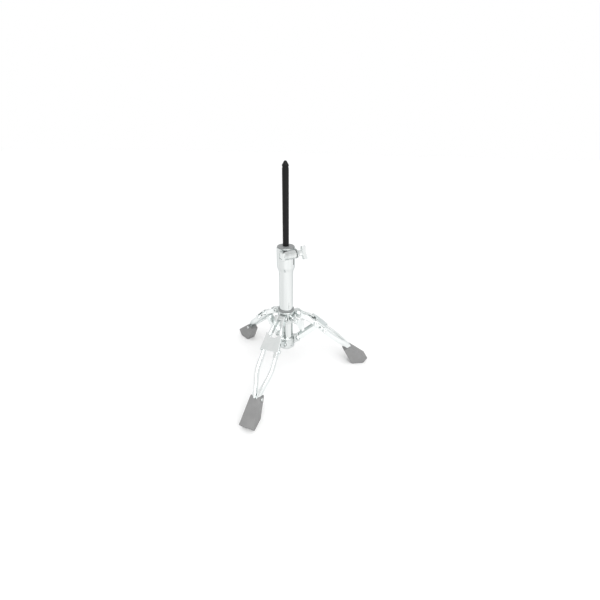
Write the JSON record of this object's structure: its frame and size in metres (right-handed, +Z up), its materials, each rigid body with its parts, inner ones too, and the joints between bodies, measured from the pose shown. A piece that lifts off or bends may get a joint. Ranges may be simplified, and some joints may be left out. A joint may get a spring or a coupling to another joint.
{
  "type": "tripod stand base",
  "caption": "Double-braced folding tripod base for percussion hardware, with curved twin-bar legs, wedge feet, a tube clamp and a slim height rod with a tapered tip.",
  "frame": {"origin": "point on the floor under the column's axis, in the plane of the three soles", "axes": "+Z up along the column, -Y towards the front leg, +X to the right of it"},
  "size_m": [0.4654, 0.4036, 0.591],
  "materials": {
    "chrome": "polished",
    "black_rod": "satin",
    "black_nylon": "moulded",
    "foot_rubber": "matte",
    "zinc_steel": "zinc plated"
  },
  "bodies": {
    "hub": {"hub_casting": "chrome", "hub_bushing": "black_nylon", "hub_pivot_bolts": "chrome", "hub_pivot_nuts": "chrome"},
    "hub_pad": {"hub_clamp_pad": "black_nylon"},
    "hub_wing": {"hub_wing_screw": "chrome"},
    "front_leg": {"front_leg_bar_left": "chrome", "front_leg_bar_right": "chrome", "front_leg_yoke": "chrome", "front_leg_yoke_bolts": "chrome", "front_foot": "foot_rubber", "front_foot_bolt": "chrome", "front_brace_pin": "zinc_steel"},
    "front_brace_arm": {"front_brace": "chrome", "front_brace_sleeve": "zinc_steel"},
    "right_leg": {"right_leg_bar_left": "chrome", "right_leg_bar_right": "chrome", "right_leg_yoke": "chrome", "right_leg_yoke_bolts": "chrome", "right_foot": "foot_rubber", "right_foot_bolt": "chrome", "right_brace_pin": "zinc_steel"},
    "right_brace_arm": {"right_brace": "chrome", "right_brace_sleeve": "zinc_steel"},
    "left_leg": {"left_leg_bar_left": "chrome", "left_leg_bar_right": "chrome", "left_leg_yoke": "chrome", "left_leg_yoke_bolts": "chrome", "left_foot": "foot_rubber", "left_foot_bolt": "chrome", "left_brace_pin": "zinc_steel"},
    "left_brace_arm": {"left_brace": "chrome", "left_brace_sleeve": "zinc_steel"},
    "column": {"base_tube": "chrome", "lower_collar": "chrome", "collar_set_screws": "zinc_steel", "brace_pivot_bolts": "chrome", "brace_pivot_nuts": "chrome", "top_clamp": "chrome", "clamp_bolt": "chrome", "top_bushing": "black_nylon"},
    "clamp_carrier": {"clamp_washer": "zinc_steel"},
    "clamp_wing": {"clamp_wing_nut": "chrome"},
    "rod_carrier": {"rod_guide": "black_nylon"},
    "rod": {"height_rod": "black_rod", "rod_tip": "black_rod", "rod_clips": "zinc_steel"}
  },
  "joints": [
    {"name": "front_leg_fold", "type": "hinge", "parent": "hub", "child": "front_leg", "pos_m": [0, -0.033, 0.195], "axis": [1, 0, 0], "range_deg": [0, 45]},
    {"name": "right_leg_fold", "type": "hinge", "parent": "hub", "child": "right_leg", "pos_m": [0.02858, 0.0165, 0.195], "axis": [-0.5, 0.866, 0], "range_deg": [0, 45]},
    {"name": "left_leg_fold", "type": "hinge", "parent": "hub", "child": "left_leg", "pos_m": [-0.02858, 0.0165, 0.195], "axis": [-0.5, -0.866, 0], "range_deg": [0, 45]},
    {"name": "front_brace_fold", "type": "hinge", "parent": "front_leg", "child": "front_brace_arm", "pos_m": [0, -0.095, 0.153], "axis": [1, 0, 0], "range_deg": [-90, 0]},
    {"name": "right_brace_fold", "type": "hinge", "parent": "right_leg", "child": "right_brace_arm", "pos_m": [0.08227, 0.0475, 0.153], "axis": [-0.5, 0.866, 0], "range_deg": [-90, 0]},
    {"name": "left_brace_fold", "type": "hinge", "parent": "left_leg", "child": "left_brace_arm", "pos_m": [-0.08227, 0.0475, 0.153], "axis": [-0.5, -0.866, 0], "range_deg": [-90, 0]},
    {"name": "column_drop", "type": "hinge", "parent": "front_brace_arm", "child": "column", "pos_m": [0, -0.033, 0.111], "axis": [1, 0, 0], "range_deg": [0, 45]},
    {"name": "rod_height", "type": "slide", "parent": "column", "child": "rod_carrier", "axis": [0, 0, 1], "range_m": [-0.06, 0.14]},
    {"name": "rod_turn", "type": "hinge", "parent": "rod_carrier", "child": "rod", "pos_m": [0, 0, 0.18], "axis": [0, 0, 1], "continuous": true},
    {"name": "hub_screw_travel", "type": "slide", "parent": "hub", "child": "hub_pad", "axis": [0.866, -0.5, 0], "range_m": [0, 0.0025]},
    {"name": "hub_wing_turn", "type": "hinge", "parent": "hub_pad", "child": "hub_wing", "pos_m": [0.02598, -0.015, 0.19], "axis": [0.866, -0.5, 0], "range_deg": [0, 720]},
    {"name": "clamp_screw_travel", "type": "slide", "parent": "column", "child": "clamp_carrier", "axis": [0.6293, 0.7771, 0], "range_m": [0, 0.0025]},
    {"name": "clamp_wing_turn", "type": "hinge", "parent": "clamp_carrier", "child": "clamp_wing", "pos_m": [0.02176, -0.01762, 0.3775], "axis": [0.6293, 0.7771, 0], "range_deg": [0, 720]}
  ],
  "couplings": [
    {"joint": "right_leg_fold", "follows": "front_leg_fold", "ratio": 1},
    {"joint": "left_leg_fold", "follows": "front_leg_fold", "ratio": 1},
    {"joint": "front_brace_fold", "follows": "front_leg_fold", "ratio": -2},
    {"joint": "right_brace_fold", "follows": "front_leg_fold", "ratio": -2},
    {"joint": "left_brace_fold", "follows": "front_leg_fold", "ratio": -2},
    {"joint": "column_drop", "follows": "front_leg_fold", "ratio": 1},
    {"joint": "hub_wing_turn", "follows": "hub_screw_travel", "rad_per_m": 5026.5},
    {"joint": "clamp_wing_turn", "follows": "clamp_screw_travel", "rad_per_m": 5026.5}
  ]
}
